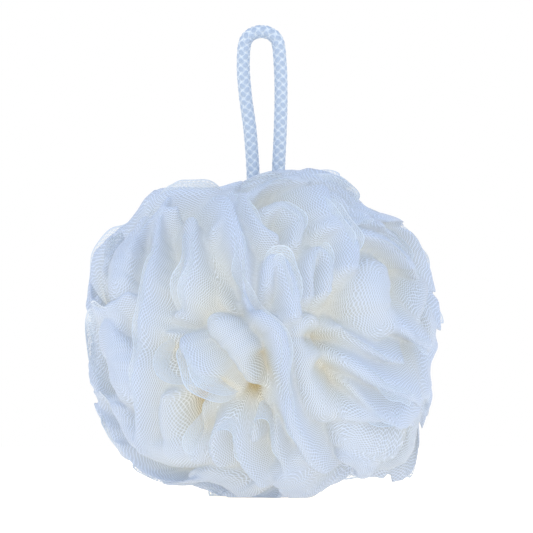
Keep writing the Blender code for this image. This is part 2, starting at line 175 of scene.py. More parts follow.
def braid(line, diameter):
    """Eight strands along a line. At arc length s a strand of the first four stands at the angle
    w s + k pi / 2 and one of the other four at -w s + k pi / 2 + pi / 4, so that they cross
    where c = 4 w s / pi - 1/2 is whole. Its distance from the line is R + d cos(pi c) or
    R - d cos(pi c): over one strand and under the next. Crown is 1 on the back of a strand where
    it lies over the other, and 0 at its sides and where it dives under."""
    middle = diameter / 2 - STRAND_THICK - STRAND_LIFT
    along = np.concatenate(([0], np.cumsum(np.linalg.norm(np.diff(line, axis=0), axis=1))))
    way = unit(np.gradient(line, axis=0))
    out = unit(np.cross(np.tile((0.0, 1.0, 0.0), (len(line), 1)), way))
    side = np.cross(way, out)
    spin = 2 * np.pi / BRAID_PITCH * along
    crossing = np.pi * (4 * spin / np.pi - 0.5)
    turn = 2 * np.pi * np.arange(STRAND_SIDES) / STRAND_SIDES
    points, faces, crown = [], [], []
    for k in range(8):
        hand = 1 if k < 4 else -1
        angle = hand * spin + k * np.pi / 2 + (0 if k < 4 else np.pi / 4)
        radius = middle + hand * STRAND_LIFT * np.cos(crossing)
        outward = out * np.cos(angle)[:, None] + side * np.sin(angle)[:, None]
        centre = line + outward * radius[:, None]
        run = unit(np.gradient(centre, axis=0))
        flat = unit(np.cross(run, outward))
        upright = np.cross(flat, run)
        ring = (
            centre[:, None]
            + flat[:, None] * (STRAND_WIDE * np.cos(turn))[None, :, None]
            + upright[:, None] * (STRAND_THICK * np.sin(turn))[None, :, None]
        )
        faces += tube_faces(len(line), STRAND_SIDES, len(points) * len(line) * STRAND_SIDES)
        points.append(ring.reshape(-1, 3))
        over = 0.5 + 0.5 * hand * np.cos(crossing)
        crown.append((over[:, None] * np.clip(np.sin(turn), 0, 1)[None, :]).ravel())
    return np.concatenate(points), faces, np.concatenate(crown)


def plain_material(name, colour, roughness, shine=0.5):
    """A Principled material, its node tree and its shader."""
    material = bpy.data.materials.new(name)
    material.use_nodes = True
    shader = material.node_tree.nodes["Principled BSDF"]
    shader.inputs["Base Color"].default_value = (*colour, 1)
    shader.inputs["Roughness"].default_value = roughness
    shader.inputs["Specular IOR Level"].default_value = shine
    return material, material.node_tree, shader


def braid_material():
    """Bright thread, blue where a strand crowns, with a pale painted highlight at its sides
    and where it dives under, and fine fibres.
    """
    material, tree, shader = plain_material("braided cord", (0.56, 0.67, 0.86), 0.42)
    crown = tree.nodes.new("ShaderNodeAttribute")
    crown.attribute_name = "crown"
    colour = tree.nodes.new("ShaderNodeValToRGB")
    # The pale end of this ramp is painted highlight along the strands' edges.
    hollow, top = colour.color_ramp.elements
    hollow.color, hollow.position = (*BRAID_PAINTED_HIGHLIGHT, 1), PAINTED_HIGHLIGHT_UNTIL
    top.color, top.position = (*BRAID_CROWN, 1), CROWN_FROM
    tree.links.new(crown.outputs["Fac"], colour.inputs["Fac"])
    tree.links.new(colour.outputs["Color"], shader.inputs["Base Color"])
    place = tree.nodes.new("ShaderNodeTexCoord")
    fibre = tree.nodes.new("ShaderNodeTexNoise")
    fibre.inputs["Scale"].default_value = 900
    fibre.inputs["Detail"].default_value = 3
    bump = tree.nodes.new("ShaderNodeBump")
    bump.inputs["Strength"].default_value = 0.3
    bump.inputs["Distance"].default_value = 0.0001
    tree.links.new(place.outputs["Object"], fibre.inputs["Vector"])
    tree.links.new(fibre.outputs["Fac"], bump.inputs["Height"])
    tree.links.new(bump.outputs["Normal"], shader.inputs["Normal"])
    return material


cord_line = smooth_line(cord_route(), np.linspace(0, 1, CORD_POINTS))
cord_points, cord_faces, crown = braid(cord_line, CORD_DIAMETER + BRAID_EXTRA)
cord = mesh_object("cord_braid", cord_points, cord_faces, braid_material())
cord.data.attributes.new("crown", "FLOAT", "POINT").data.foreach_set("value", crown)
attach(cord, "root")
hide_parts("hanging_cord")


# The outer layer of the netting: one tube knitted of thin plastic thread, gathered across its
# middle by the cord and teased out into a ball of folds. It is laid into the same folds as the
# part's own netting, with the knit running along each crest.
BALL_WIDTH = 0.125
BALL_DEPTH = 0.118
BALL_HALF = np.array((BALL_WIDTH, BALL_DEPTH, BALL_HEIGHT)) / 2
SQUARENESS = 2.4  # 2 is a plain ellipsoid, more is boxier
SCOOP_DEPTH = 0.011  # of the hollow beside a crest
SCOOP_WIDTH = 0.0050  # in which most of that depth is reached
SCOOP_SLOPE = 0.40  # of the hollow's floor, away from the crest
FLOOR_DEPTH = 0.016  # of the netting far from every crest
BLEND = 0.0022  # how softly one fold's hollow runs into the next one's
POCKET_DEPTH = 0.027  # of the deepest pocket, where the folds lean by the angles below
FAN_LEAN = 0.42  # radians by which a fold between front and side leans outwards
SIDE_LEAN = 0.55  # radians by which the folds at the side lean round the ball
FLOOR_ROOM = 0.0001  # between the floor and the lowest netting

# The widths of a crest from its middle to its side
EDGE = 0.0014
BAND = 0.0024
ROLL = 0.0040
LOBE = 0.0072

LOOSE_FOLDS = 118
LOOSE_LENGTH = 0.026
LOOSE_UNEVEN = 0.35  # share by which their lengths differ
LOOSE_BEND = 0.9  # of their curve
FRONT_FACE = 0.62  # a loose fold is turned from the front past this cosine
RIM_ROOM = 0.12  # and out of the rim's plane by more than this sine
COLLAR_ROOM = 0.93  # and from the top past this cosine
RIM_FORWARD = 0.06  # how far in front of the middle the rim folds lie, as a share of the radius
RIM_SWING = 0.12  # and how far they swing from there

ROUTE_STEP = 0.0022
FOLD_ROOM = 0.030  # a fold shapes the netting within this distance of its ends
RIPPLE_LENGTH = 0.0052  # of the small ripples along a crest
RIPPLE_UNEVEN = 0.0016  # by which that length differs from fold to fold
RIPPLE_START = 0.006  # distance from a crest where the ripples reach their full height
RIPPLE_BEAT = 410  # how fast they swell and fade along a crest, in radians for each metre
NET_SLANT = 0.6  # share of the hollow's depth by which the net is longer across a fold
NET_SHIFT = 0.01  # between the net's rows on one fold and on the next
NET_START = 0.013  # between the net's columns on one fold and on the next

NET_LOOP = 0.0018  # length of a loop of the knit
NET_ROW = 0.00072  # height of a row of it
NET_SWING = 0.21  # of a thread to each side, in rows
NET_WANDER, NET_WANDER_SCALE = 1.2, 240  # how uneven the rows are, in rows, and how finely
LOOP_WANDER = 3.0  # radians by which a loop is shifted where a row is one row off
THREAD_MIDDLE = 0.02  # of a row: this near to its middle a thread is solid
SELVEDGE_FROM, SELVEDGE_TO = 0.93, 0.97  # as shares of the way from a hem's foot to its edge
LIGHT_THROUGH = 0.88  # share of the soft light that passes through a layer
# Painted shade: the net's holes and threads are coloured darker and warmer the deeper they lie
# between the folds.
GAP_PAINTED_SHADE = (0.51, 0.54, 0.54), (0.55, 0.53, 0.44), (0.42, 0.29, 0.10)  # painted shade in the holes: wall, floor and pocket
POCKET_THREAD_PAINTED_SHADE = (0.68, 0.56, 0.30)
WALL_FROM, FLOOR_FROM, POCKET_FROM = 0.30, 0.52, 0.70  # as shares of the deepest pocket

Fold = namedtuple("Fold", "half_width reach route")

# Folds of the front. A route gives points as seen from there: across and up, as shares of the
# ball's half width and half height.
FACE_FOLDS = {
    "long_left_ridge": Fold(
        EDGE,
        1.00,
        (
            (-0.53, 0.81), (-0.61, 0.48), (-0.67, 0.17),
            (-0.70, -0.14), (-0.71, -0.45), (-0.68, -0.68),
        ),
    ),
    "left_pocket_ridge": Fold(
        BAND, 0.97, ((-0.39, 0.70), (-0.41, 0.48), (-0.47, 0.31), (-0.55, 0.17))
    ),
    "pocket_roll": Fold(ROLL, 0.84, ((-0.27, 0.62), (-0.27, 0.44), (-0.28, 0.28))),
    "s_band": Fold(
        BAND,
        1.02,
        (
            (-0.24, 0.88), (-0.17, 0.68), (-0.12, 0.46), (-0.12, 0.30), (-0.04, 0.15), (0.08, 0.03),
            (0.12, -0.12), (0.12, -0.30), (0.16, -0.50), (0.27, -0.71), (0.40, -0.86),
        ),
    ),
    "tongue_arch": Fold(
        BAND, 1.00, ((0.02, 0.33), (0.05, 0.43), (0.12, 0.41), (0.17, 0.28), (0.19, 0.12))
    ),
    "top_finger_edge": Fold(EDGE, 0.98, ((-0.10, 0.90), (-0.06, 0.76), (0.0, 0.64), (0.08, 0.58))),
    "top_cup": Fold(BAND, 0.95, ((0.06, 0.76), (0.15, 0.78), (0.24, 0.70), (0.22, 0.58))),
    "finger_arch": Fold(
        EDGE, 0.97, ((0.29, 0.24), (0.29, 0.42), (0.34, 0.51), (0.40, 0.44), (0.39, 0.26))
    ),
    "right_drape": Fold(
        BAND, 1.00, ((0.35, 0.86), (0.38, 0.74), (0.47, 0.65), (0.52, 0.53), (0.51, 0.40))
    ),
    "right_dome": Fold(LOBE, 0.99, ((0.67, 0.32), (0.67, 0.19), (0.70, 0.05))),
    "dome_brow": Fold(BAND, 1.00, ((0.59, 0.60), (0.72, 0.53), (0.84, 0.40))),
    "upper_right_roll": Fold(ROLL, 0.98, ((0.47, 0.82), (0.58, 0.75), (0.68, 0.67))),
    "long_tongue": Fold(LOBE, 0.97, ((0.31, 0.02), (0.32, -0.14), (0.34, -0.31), (0.36, -0.47))),
    "upper_fan": Fold(EDGE, 1.00, ((0.49, 0.02), (0.59, -0.08), (0.69, -0.14), (0.80, -0.17))),
    "middle_fan": Fold(BAND, 1.02, ((0.50, -0.18), (0.62, -0.26), (0.76, -0.32), (0.87, -0.36))),
    "lower_fan": Fold(EDGE, 0.99, ((0.52, -0.36), (0.61, -0.44), (0.73, -0.51), (0.83, -0.54))),
    "lower_right_lobe": Fold(LOBE, 0.99, ((0.48, -0.64), (0.58, -0.68), (0.67, -0.69))),
    "centre_panel": Fold(
        LOBE, 0.95, ((-0.28, 0.06), (-0.18, -0.06), (-0.09, -0.20), (-0.03, -0.34))
    ),
    "diagonal_ridge": Fold(
        BAND, 1.00, ((-0.50, -0.02), (-0.41, -0.18), (-0.30, -0.34), (-0.19, -0.44))
    ),
    "pocket_lip": Fold(EDGE, 0.97, ((-0.59, 0.02), (-0.62, -0.14), (-0.56, -0.26), (-0.46, -0.34))),
    "lower_left_panel": Fold(ROLL, 0.97, ((-0.57, -0.40), (-0.57, -0.54), (-0.52, -0.69))),
    "lower_left_edge": Fold(EDGE, 0.98, ((-0.40, -0.47), (-0.41, -0.60), (-0.39, -0.76))),
    "bottom_arch": Fold(
        EDGE,
        0.99,
        (
            (-0.27, -0.79), (-0.30, -0.66), (-0.26, -0.55), (-0.18, -0.55),
            (-0.15, -0.66), (-0.10, -0.79), (-0.01, -0.88),
        ),
    ),
    "ear": Fold(
        EDGE,
        0.97,
        (
            (-0.06, -0.64), (-0.05, -0.53), (0.02, -0.51),
            (0.055, -0.61), (0.075, -0.72), (0.15, -0.83),
        ),
    ),
    "left_lobe": Fold(ROLL, 0.98, ((-0.84, 0.13), (-0.85, -0.05), (-0.83, -0.24))),
    "upper_left_lobe": Fold(LOBE, 1.00, ((-0.71, 0.68), (-0.78, 0.50), (-0.81, 0.34))),
    "low_left_roll": Fold(ROLL, 0.99, ((-0.83, -0.44), (-0.75, -0.61))),
}

# Folds in front of the cord and behind it. Their routes are seen from above: across and back,
# as shares of the ball's half width and half depth.
COLLAR_FOLDS = {
    "collar_front": Fold(ROLL, 0.985, ((-0.17, -0.20), (0.02, -0.20), (0.20, -0.19))),
    "collar_front_outer": Fold(BAND, 0.97, ((-0.16, -0.40), (0.04, -0.42), (0.22, -0.40))),
    "collar_back": Fold(ROLL, 0.975, ((-0.18, 0.19), (0.0, 0.21), (0.20, 0.20))),
    "collar_back_outer": Fold(BAND, 0.96, ((-0.17, 0.41), (0.0, 0.40), (0.18, 0.42))),
}

# Folds round the rim, that the outline in the front view shows: the angle where each begins and
# the one where it ends, counted from the right over the top, and its reach.
RIM_FOLDS = (
    (128, 171, 1.010), (176, 195, 0.985), (199, 216, 0.985), (220, 239, 0.995),
    (243, 262, 0.985), (266, 287, 0.985), (291, 309, 0.985), (312, 325, 1.000),
    (330, 341, 0.995), (345, 357, 0.990), (3, 11, 1.010), (15, 34, 1.000),
    (38, 57, 0.990), (61, 75, 1.010), (94, 104, 0.980), (108, 124, 0.990),
)

# Where the outline bulges or draws in against an even round: angle, spread, and height as a
# share of the ball's width
OUTLINE = (
    (350, 7, -0.028),
    (316, 9, 0.0544),
    (297, 10, -0.044),
    (281, 5, -0.012),
    (248, 12, -0.032),
    (210, 10, -0.016),
    (182, 8, -0.012),
    (153, 8, 0.016),
    (140, 9, -0.028),
    (106, 14, -0.052),
    (50, 10, -0.044),
)

# Deep pockets of the front: across and up of one end and of the other, radius, and depth below
# the netting round them, both as shares of the ball's width. The last value is the share of that
# depth that is added to the depth for the painted shade, which colours the pocket warmer and
# darker;
# it is small for the pockets in the upper half.
POCKETS = (
    (-0.30, -0.37, -0.16, -0.46, 0.048, 0.080, 1.15),
    (-0.60, -0.08, -0.51, -0.24, 0.040, 0.080, 1.2),
    (-0.01, -0.22, 0.04, -0.34, 0.040, 0.080, 1.15),
    (-0.05, -0.49, 0.01, -0.56, 0.036, 0.064, 1.4),
    (-0.47, -0.42, -0.43, -0.58, 0.044, 0.056, 1.6),
    (-0.10, 0.37, -0.06, 0.22, 0.040, 0.072, 0.2),
    (-0.22, 0.42, -0.20, 0.24, 0.048, 0.056, 0.0),
    (-0.55, 0.22, -0.52, 0.06, 0.044, 0.056, 0.2),
    (0.36, -0.03, 0.48, -0.06, 0.044, 0.064, 1.0),
    (0.56, 0.10, 0.68, 0.04, 0.048, 0.032, 0.5),
    (0.40, -0.26, 0.46, -0.36, 0.044, 0.056, 1.3),
)


def envelope(direction):
    """Distance from the ball's centre to its skin, where |x/a|^n + |y/b|^n + |z/c|^n = 1, with
    the bulges and hollows of its outline as seen from the front."""
    skin = (np.abs(direction / BALL_HALF) ** SQUARENESS).sum(-1) ** (-1 / SQUARENESS)
    turn = np.degrees(np.arctan2(direction[..., 2], direction[..., 0]))
    for middle, spread, rise in OUTLINE:
        away = (turn - middle + 180) % 360 - 180
        bulge = rise * BALL_WIDTH * np.exp(-((away / spread) ** 2))
        skin = skin + bulge * (1 - direction[..., 1] ** 2) ** 2
    return skin


def on_ball(side, across, up):
    """The point of the skin seen from one side at the given shares of the ball's size."""
    depth = (1 - abs(across) ** SQUARENESS - abs(up) ** SQUARENESS) ** (1 / SQUARENESS)
    shares = {"front": (across, -depth, up), "top": (across, up, depth)}[side]
    return np.array(shares) * BALL_HALF


def leaned(direction, depth):
    """Turns a direction with depth under the skin, given as a share of the deepest pocket's:
    towards the nearer of the front and back poles by FAN_LEAN sin(4 p) / 2, and round the axis
    between them by SIDE_LEAN sin(p)^2, where p is the angle from the pole."""
    pole = np.arccos(np.clip(direction[..., 1], -1, 1))
    to_pole = np.where(pole > math.pi / 2, 0.5, -0.5)
    pole = pole + depth * FAN_LEAN * np.sin(4 * np.minimum(pole, math.pi - pole)) * to_pole
    turn = np.arctan2(direction[..., 2], direction[..., 0]) + depth * SIDE_LEAN * np.sin(pole) ** 2
    return np.stack((np.sin(pole) * np.cos(turn), np.cos(pole), np.sin(pole) * np.sin(turn)), -1)


def face_folds():
    """The folds of the front and those round the cord, with their routes on the skin."""
    for fold in FACE_FOLDS.values():
        yield fold._replace(route=[on_ball("front", *point) for point in fold.route])
    for fold in COLLAR_FOLDS.values():
        yield fold._replace(route=[on_ball("top", *point) for point in fold.route])


def rim_folds():
    """The folds round the rim, with their routes on the skin."""
    for first, last, reach in RIM_FOLDS:
        turn = np.radians(np.linspace(first, last, 4))
        back = RIM_SWING * np.sin(turn * 5) - RIM_FORWARD
        way = unit(np.stack((np.cos(turn), back, np.sin(turn)), 1))
        yield Fold(EDGE, reach, way * envelope(way)[:, None])


def loose_folds():
    """Short curved folds spread evenly over the rest of the ball, each turned its own way."""
    golden = math.pi * (3 - math.sqrt(5))
    for i in range(LOOSE_FOLDS):
        height = 1 - 2 * (i + 0.5) / LOOSE_FOLDS
        ring = math.sqrt(1 - height * height)
        centre = np.array((ring * math.cos(golden * i), height, ring * math.sin(golden * i)))
        if -centre[1] > FRONT_FACE or abs(centre[1]) < RIM_ROOM or centre[2] > COLLAR_ROOM:
            continue
        side = unit(np.cross(centre, (0.35, 0.2, 1.0)))
        turn = 1.1 * math.sin(2.1 * centre[0] + 1.7 * centre[2] + 0.5) + 0.9 * math.sin(2.6 * i)
        along = side * math.cos(turn) + np.cross(centre, side) * math.sin(turn)
        across = np.cross(centre, along)
        half = LOOSE_LENGTH / BALL_WIDTH * (1 + LOOSE_UNEVEN * math.sin(4.3 * i))
        bend = LOOSE_BEND * math.sin(1.9 * i + 0.4)
        route = []
        for t in (-1, -0.4, 0.3, 1):
            aside = across * half * bend * (t * t - 0.4) * 0.5
            direction = unit(centre + along * half * t + aside)
            route.append(direction * envelope(direction))
        width = (EDGE, ROLL, BAND, LOBE, BAND)[i % 5]
        yield Fold(width, 0.985 + 0.03 * math.sin(1.7 * i + 0.6), route)


def route_length(route):
    """The length of a line through the points given."""
    return np.linalg.norm(np.diff(route, axis=0), axis=1).sum()


def ball_grid(divisions):
    """Directions over a ball and the quads between them: six square grids pushed out, with
    their shared edges joined."""
    t = np.tan(np.linspace(-np.pi / 4, np.pi / 4, divisions + 1))
    u, v = np.meshgrid(t, t, indexing="ij")
    one = np.ones_like(u)
    i, j = np.meshgrid(np.arange(divisions), np.arange(divisions), indexing="ij")
    a = (i * (divisions + 1) + j).ravel()
    quad = np.stack((a, a + divisions + 1, a + divisions + 2, a + 1), 1)
    sheets = [(one, u, v), (-one, v, u), (v, one, u), (u, -one, v), (u, v, one), (v, u, -one)]
    points = np.concatenate([unit(np.stack(s, -1)).reshape(-1, 3) for s in sheets])
    faces = np.concatenate([quad + k * (divisions + 1) ** 2 for k in range(6)])
    _, first, back = np.unique(np.round(points, 6), axis=0, return_index=True, return_inverse=True)
    return points[first], back.reshape(-1)[faces]


def from_crest(places, crest, length):
    """How far each place lies from a crest's line, how far along that line its nearest point is,
    and how far to the one side or the other the place lies. Past the line's ends the way along
    goes on."""
    steps = len(crest) - 1
    nearest = np.full(len(places), 1.0)
    along = np.zeros(len(places))
    across = np.zeros(len(places))
    for k, (a, b) in enumerate(zip(crest, crest[1:])):
        way = b - a
        raw = ((places - a) @ way) / (way @ way)
        share = np.clip(raw, 0, 1)
        gap = places - a - share[:, None] * way
        distance = np.linalg.norm(gap, axis=1)
        sign = np.sign(gap @ np.cross(a, way) + 1e-12)
        if k == 0:
            share = np.where(raw < 0, raw, share)
        if k == steps - 1:
            share = np.where(raw > 1, raw, share)
        nearer = distance < nearest
        nearest = np.where(nearer, distance, nearest)
        along = np.where(nearer, (k + share) * length / steps, along)
        across = np.where(nearer, sign * distance, across)
    return nearest, along, across


def folded(direction, folds, sink, ripple, seed):
    """The place of the netting in each direction, its own length and width coordinates and its
    depth for the painted shade in its colour. At the distance x from a crest of half width w the
    netting drops by 0.8 w (1 - sqrt(1 - 0.96 (x/w)^2)), and past the crest's side, at y = x - w, by
    SCOOP_DEPTH (1 - e^(-y / SCOOP_WIDTH)) + SCOOP_SLOPE y more, with small ripples. The drops
    d of all folds and of the floor are blended to -BLEND log(sum of e^(-d / BLEND)), and each
    pocket adds its depth times e^(-(distance / radius)^2). The whole layer lies deeper by sink.
    The depth for the painted shade is the blended drop plus each pocket's depth times its share
    of painted shade, as a share of POCKET_DEPTH. Length runs along the nearest crest and width
    across it."""
    skin = envelope(direction)
    place = direction * skin[:, None]
    least = np.full(len(direction), POCKET_DEPTH * 4)
    total = np.full(len(direction), math.exp(-FLOOR_DEPTH / BLEND))
    net = np.zeros((len(direction), 2))
    for number, fold in enumerate(folds):
        length = route_length(fold.route)
        steps = max(2, round(length / ROUTE_STEP))
        crest = smooth_line(fold.route, np.linspace(0, 1, steps + 1))
        close = np.linalg.norm(place - crest.mean(0), axis=1) < length / 2 + FOLD_ROOM
        distance, along, aside = from_crest(place[close], crest, length)
        wavelength = RIPPLE_LENGTH + RIPPLE_UNEVEN * math.sin(number * 2.3)
        swell = 1 + 0.5 * np.sin(along * RIPPLE_BEAT + number + seed)
        flutter = ripple * np.sin(along * 2 * np.pi / wavelength + number)
        flutter *= np.clip(distance / RIPPLE_START, 0.25, 1) * swell
        ratio = np.minimum(distance / fold.half_width, 1)
        rounded = fold.half_width * (1 - np.sqrt(1 - 0.96 * ratio * ratio)) * 0.8
        beyond = np.maximum(distance - fold.half_width, 0)
        scoop = SCOOP_DEPTH * (1 - np.exp(-beyond / SCOOP_WIDTH)) + SCOOP_SLOPE * beyond
        mine = (1 - fold.reach) * skin[close] + rounded + scoop + flutter
        total[close] += np.exp(-mine / BLEND)
        wins = mine < least[close]
        index = np.flatnonzero(close)[wins]
        least[index] = mine[wins]
        slant = np.sign(aside[wins]) * scoop[wins] * NET_SLANT
        net[index, 0] = number * NET_START + along[wins]
        net[index, 1] = aside[wins] + slant + number * NET_SHIFT
    drop = -BLEND * np.log(total)
    painted_shade_depth = drop
    for across, up, to_across, to_up, radius, depth, painted_shade_share in POCKETS:
        a = on_ball("front", across, up)
        way = on_ball("front", to_across, to_up) - a
        share = np.clip(((place - a) @ way) / (way @ way), 0, 1)
        away = np.linalg.norm(place - a - share[:, None] * way, axis=1) / (radius * BALL_WIDTH)
        pocket = depth * BALL_WIDTH * np.exp(-(away**2))
        drop = drop + pocket
        painted_shade_depth = painted_shade_depth + painted_shade_share * pocket
    turned = leaned(direction, (drop + sink) / POCKET_DEPTH)
    point = turned * (skin - drop - sink)[:, None] + BALL_CENTRE
    point[:, 2] = np.maximum(point[:, 2], FLOOR_ROOM + 0.5 * sink)
    return point, net, np.maximum(painted_shade_depth, 0) / POCKET_DEPTH


def net_group():
    """A node group with the knitted net: two families of wavy threads, v + a sin(u) and its
    mirror image half a row on, which touch and part again so that they leave pointed holes."""
    group = bpy.data.node_groups.new("knitted net", "ShaderNodeTree")
    for name, kind, way in (
        ("Place", "NodeSocketVector", "INPUT"),
        ("Thread", "NodeSocketFloat", "INPUT"),
        ("Mask", "NodeSocketFloat", "OUTPUT"),
    ):
        group.interface.new_socket(name=name, in_out=way, socket_type=kind)
    nodes, links = group.nodes, group.links
    entry = nodes.new("NodeGroupInput")
    leave = nodes.new("NodeGroupOutput")

    def maths(operation, *values):
        """The result of a Math node on numbers and other nodes' results."""
        node = nodes.new("ShaderNodeMath")
        node.operation = operation
        for socket, value in zip(node.inputs, values):
            if isinstance(value, (int, float)):
                socket.default_value = value
            else:
                links.new(value, socket)
        return node.outputs[0]

    split = nodes.new("ShaderNodeSeparateXYZ")
    links.new(entry.outputs["Place"], split.inputs[0])
    wander = nodes.new("ShaderNodeTexNoise")
    wander.inputs["Scale"].default_value = NET_WANDER_SCALE
    wander.inputs["Detail"].default_value = 1
    links.new(entry.outputs["Place"], wander.inputs["Vector"])
    drift = maths("MULTIPLY", maths("SUBTRACT", wander.outputs["Fac"], 0.5), NET_WANDER)
    loops = maths("MULTIPLY", split.outputs["X"], 2 * math.pi / NET_LOOP)
    rows = maths("MULTIPLY", split.outputs["Y"], 1 / NET_ROW)
    along = maths("ADD", loops, maths("MULTIPLY", drift, LOOP_WANDER))
    across = maths("ADD", rows, drift)
    wave = maths("MULTIPLY", maths("SINE", along), NET_SWING)
    threads = []
    for phase in (maths("ADD", across, wave), maths("ADD", maths("SUBTRACT", across, wave), 0.5)):
        off = maths("ABSOLUTE", maths("SUBTRACT", maths("FRACT", phase), 0.5))
        thread = nodes.new("ShaderNodeMapRange")
        thread.interpolation_type = "SMOOTHSTEP"
        links.new(off, thread.inputs["Value"])
        links.new(entry.outputs["Thread"], thread.inputs["From Max"])
        thread.inputs["From Min"].default_value = THREAD_MIDDLE
        thread.inputs["To Min"].default_value = 1
        thread.inputs["To Max"].default_value = 0
        threads.append(thread.outputs["Result"])
    links.new(maths("MAXIMUM", *threads), leave.inputs["Mask"])
    return group


knitted_net = net_group()


def painted_shade_by_depth(tree, depth, crest, wall, floor, pocket):
    """The colour at a depth between the folds, from a fold's crest to the bottom of a pocket:
    painted shade, darker and warmer the deeper it lies.
    """
    node = tree.nodes.new("ShaderNodeValToRGB")
    ramp = node.color_ramp
    ramp.elements[0].color = (*crest, 1)
    ramp.elements[1].color = (*pocket, 1)
    ramp.elements[1].position = POCKET_FROM
    ramp.elements.new(WALL_FROM).color = (*wall, 1)
    ramp.elements.new(FLOOR_FROM).color = (*floor, 1)
    tree.links.new(depth.outputs["Fac"], node.inputs["Fac"])
    return node.outputs["Color"]


def netting_material(name, crest, wall, floor, least, most, thread):
    """Net of one layer, with painted shade that grows warmer and darker the deeper it lies and in
    its holes. Least and most are how solid it is in its holes and on its threads, and thread is the
    threads' width. A free edge is solid, and soft light passes through."""
    material, tree, shader = plain_material(name, crest, 0.5, 0.35)
    place = tree.nodes.new("ShaderNodeUVMap")
    place.uv_map = "net"
    net = tree.nodes.new("ShaderNodeGroup")
    net.node_tree = knitted_net
    net.inputs["Thread"].default_value = thread
    tree.links.new(place.outputs["UV"], net.inputs["Place"])

    depth = tree.nodes.new("ShaderNodeAttribute")
    depth.attribute_name = "depth"
    # Painted shade: the holes take a darker, warmer colour than the threads, for the shaded layers
    # behind them.
    colour = tree.nodes.new("ShaderNodeMix")
    colour.data_type = "RGBA"
    painted_shade_gaps, threads = (s for s in colour.inputs if s.type == "RGBA")
    tree.links.new(net.outputs["Mask"], colour.inputs["Factor"])
    tree.links.new(painted_shade_by_depth(tree, depth, crest, *GAP_PAINTED_SHADE), painted_shade_gaps)
    tree.links.new(painted_shade_by_depth(tree, depth, crest, wall, floor, POCKET_THREAD_PAINTED_SHADE), threads)
    mixed = next(s for s in colour.outputs if s.type == "RGBA")
    tree.links.new(mixed, shader.inputs["Base Color"])

    opacity = tree.nodes.new("ShaderNodeMapRange")
    opacity.inputs["To Min"].default_value = least
    opacity.inputs["To Max"].default_value = most
    tree.links.new(net.outputs["Mask"], opacity.inputs["Value"])
    edge = tree.nodes.new("ShaderNodeAttribute")
    edge.attribute_name = "edge"
    selvedge = tree.nodes.new("ShaderNodeMapRange")
    selvedge.inputs["From Min"].default_value = SELVEDGE_FROM
    selvedge.inputs["From Max"].default_value = SELVEDGE_TO
    tree.links.new(edge.outputs["Fac"], selvedge.inputs["Value"])
    dense = tree.nodes.new("ShaderNodeMath")
    dense.operation = "MAXIMUM"
    tree.links.new(opacity.outputs["Result"], dense.inputs[0])
    tree.links.new(selvedge.outputs["Result"], dense.inputs[1])
    path = tree.nodes.new("ShaderNodeLightPath")
    passing = tree.nodes.new("ShaderNodeMath")
    passing.operation = "MULTIPLY_ADD"
    passing.inputs[1].default_value = -LIGHT_THROUGH
    passing.inputs[2].default_value = 1
    solid = tree.nodes.new("ShaderNodeMath")
    solid.operation = "MULTIPLY"
    tree.links.new(path.outputs["Is Diffuse Ray"], passing.inputs[0])
    tree.links.new(dense.outputs[0], solid.inputs[0])
    tree.links.new(passing.outputs[0], solid.inputs[1])
    tree.links.new(solid.outputs[0], shader.inputs["Alpha"])
    return material


def netting_object(name, points, faces, net, depth, edge, material):
    """A piece of netting with its length and width coordinates, its depth between the folds for
    its painted shade, and its nearness to a free edge."""
    obj = mesh_object(name, points, faces, material)
    mesh = obj.data
    corner = np.empty(len(mesh.loops), dtype=np.int32)
    mesh.loops.foreach_get("vertex_index", corner)
    mesh.uv_layers.new(name="net").data.foreach_set("uv", net[corner].ravel())
    mesh.attributes.new("depth", "FLOAT", "POINT").data.foreach_set("value", depth)
    mesh.attributes.new("edge", "FLOAT", "POINT").data.foreach_set("value", edge)
    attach(obj, "root")
    return obj


def netting(name, divisions, sink, ripple, seed, material):
    """One layer of netting laid into its folds. The tube's two ends are spread over the front
    and the back, and their free edges meet round the rim."""
    direction, faces = ball_grid(divisions)
    folds = [*face_folds(), *rim_folds(), *loose_folds()]
    points, net, depth = folded(direction, folds, sink, ripple, seed)
    behind = direction[faces][..., 1].mean(1) > 0
    used, faces = np.unique(faces + len(points) * behind[:, None], return_inverse=True)
    source = used % len(points)
    return netting_object(
        name,
        points[source],
        faces.reshape(-1, 4),
        net[source],
        depth[source],
        np.zeros(len(source)),
        material,
    )


outer = netting(
    "netting_outer",
    divisions=126,
    sink=0.0,
    ripple=0.0003,
    seed=0.0,
    material=netting_material(
        "netting, outer",
        crest=(0.49, 0.57, 0.73),
        wall=(0.60, 0.655, 0.73),
        floor=(0.70, 0.69, 0.64),
        least=0.62,
        most=0.97,
        thread=0.22,
    ),
)
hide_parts("mesh_ruffles")


# The layer under it: the same tube again, gathered with the outer layer into the same waist. It
# shows through the holes of the outer layer and in the hollows, coloured paler and warmer as
# painted shade.
inner = netting(
    "netting_inner",
    divisions=100,
    sink=0.0035,
    ripple=0.0005,
    seed=1.7,
    material=netting_material(
        "netting, inner",
        crest=(0.515, 0.58, 0.68),
        wall=(0.60, 0.63, 0.62),
        floor=(0.68, 0.62, 0.47),
        least=0.65,
        most=0.98,
        thread=0.24,
    ),
)


# The core: the imported netting round the waist, where so many layers lie on each other that
# nothing is seen through them any more. Its warmer colours are painted shade, which gives the
# bottoms of the pockets their warm tone.
core = netting(
    "netting_core",
    divisions=70,
    sink=0.0085,
    ripple=0.0005,
    seed=3.1,
    material=netting_material(
        "netting, core",
        crest=(0.60, 0.60, 0.55),
        wall=(0.65, 0.60, 0.46),
        floor=(0.66, 0.54, 0.30),
        least=0.9,
        most=1.0,
        thread=0.3,
    ),
)


